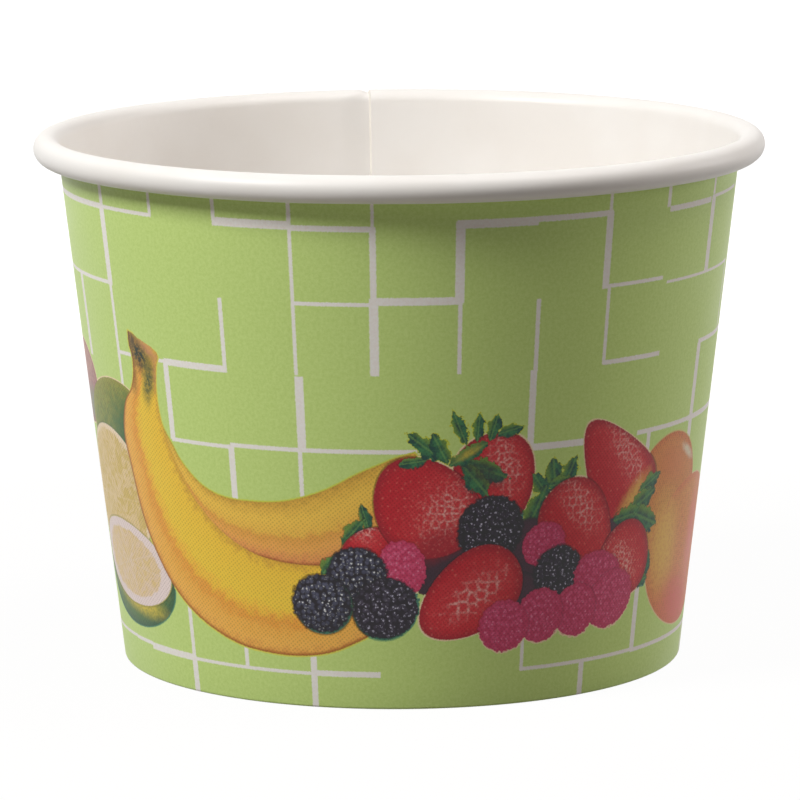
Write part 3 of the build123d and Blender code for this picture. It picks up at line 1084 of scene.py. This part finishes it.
# Studio light. Level is how bright a white card that faces the lamp comes out, and distance is in metres
lamps = {
    "keyLamp": {"azimuth": -57, "elevation": 42, "distance": 1.3, "size": (0.45, 0.45), "level": 0.835,
                "tint": (1.0, 1.0, 0.99)},
    "backLamp": {"azimuth": 107, "elevation": 14, "distance": 1.3, "size": (0.7, 0.5), "level": 0.25,
                 "tint": (1.0, 0.96, 0.93)},
    "topLamp": {"azimuth": 75, "elevation": 67, "distance": 1.2, "size": (0.7, 0.7), "level": 0.40,
                "tint": (1.0, 0.957, 0.935)},
}
room = {
    "level": 0.045,            # what the room alone gives a white card
    "tint": (1.0, 0.95, 0.91),
    "tableReach": 4.0,         # half its width, in metres
    "tableColour": (121, 116, 112),   # what lights up the cup from below
    "glow": 1.17,              # how bright the table looks to the camera
    "shadowShare": 0.18,       # how much of its real shade the camera sees near the cup
    "shadowReach": (0.12, 0.30),   # between these distances, in metres, that fades out
}


# Azimuth is counted from the front, to the right
def placeLamp(name, lamp):
    light = bpy.data.lights.new(name, "AREA")
    light.shape = "RECTANGLE"
    light.size, light.size_y = lamp["size"]
    light.energy = lamp["level"] * math.pi ** 2 * lamp["distance"] ** 2
    light.color = lamp["tint"]
    holder = bpy.data.objects.new(name, light)
    bpy.context.collection.objects.link(holder)
    cosine, sine = cosineAndSine(lamp["azimuth"])
    level, steep = cosineAndSine(lamp["elevation"])
    aim = Vector((0, 0, wall["height"] / 2 * metresPerMm))
    away = Vector((sine * level, -cosine * level, steep))
    holder.location = aim + away * lamp["distance"]
    holder.rotation_mode = "QUATERNION"
    holder.rotation_quaternion = (-away).to_track_quat("-Z", "Y")


# 1 for what the camera sees, also in gloss and through clear things
def lightPathShare(tree):
    rays = addNode(tree, "ShaderNodeLightPath").outputs
    seen = highest(rays["Is Camera Ray"], rays["Is Glossy Ray"])
    return highest(seen, rays["Is Transmission Ray"])


def makeRoom():
    world = bpy.data.worlds.new("room")
    world.use_nodes = True
    tree = world.node_tree
    tree.nodes.clear()
    seen = lightPathShare(tree)
    strength = timesPlus(seen, 1 - room["level"], room["level"])
    colour = mixColour(seen, (*room["tint"], 1), (1, 1, 1, 1))
    background = addNode(tree, "ShaderNodeBackground", {"Color": colour, "Strength": strength})
    output = tree.nodes.new("ShaderNodeOutputWorld")
    tree.links.new(background.outputs[0], output.inputs[0])
    bpy.context.scene.world = world


# A table that the camera sees as white, with the cup's shadow kept
def makeTable():
    bm = bmesh.new()
    bmesh.ops.create_grid(bm, x_segments=1, y_segments=1, size=room["tableReach"])
    mesh = bpy.data.meshes.new("table")
    bm.to_mesh(mesh)
    bm.free()
    table = bpy.data.objects.new("table", mesh)
    bpy.context.collection.objects.link(table)
    material, tree, shader, place = makeMaterial("tableTop")
    shader.inputs["Base Color"].default_value = ink(*room["tableColour"])
    shader.inputs["Roughness"].default_value = 0.9
    glow = addNode(tree, "ShaderNodeEmission", {"Color": (1, 1, 1, 1), "Strength": room["glow"]})
    fromCup = addNode(tree, "ShaderNodeVectorMath", {0: place}, operation="LENGTH").outputs["Value"]
    far = rise(fromCup, *room["shadowReach"])
    seenShare = timesPlus(far, room["shadowShare"], 1 - room["shadowShare"])
    share = times(lightPathShare(tree), seenShare)
    both = addNode(tree, "ShaderNodeMixShader", {0: share})
    tree.links.new(shader.outputs[0], both.inputs[1])
    tree.links.new(glow.outputs[0], both.inputs[2])
    output = next(n for n in tree.nodes if n.type == "OUTPUT_MATERIAL")
    tree.links.new(both.outputs[0], output.inputs["Surface"])
    mesh.materials.append(material)


placeCamera()
for name, lamp in lamps.items():
    placeLamp(name, lamp)
makeRoom()
makeTable()
bpy.context.scene.view_settings.view_transform = "Standard"
print("camera and light placed")
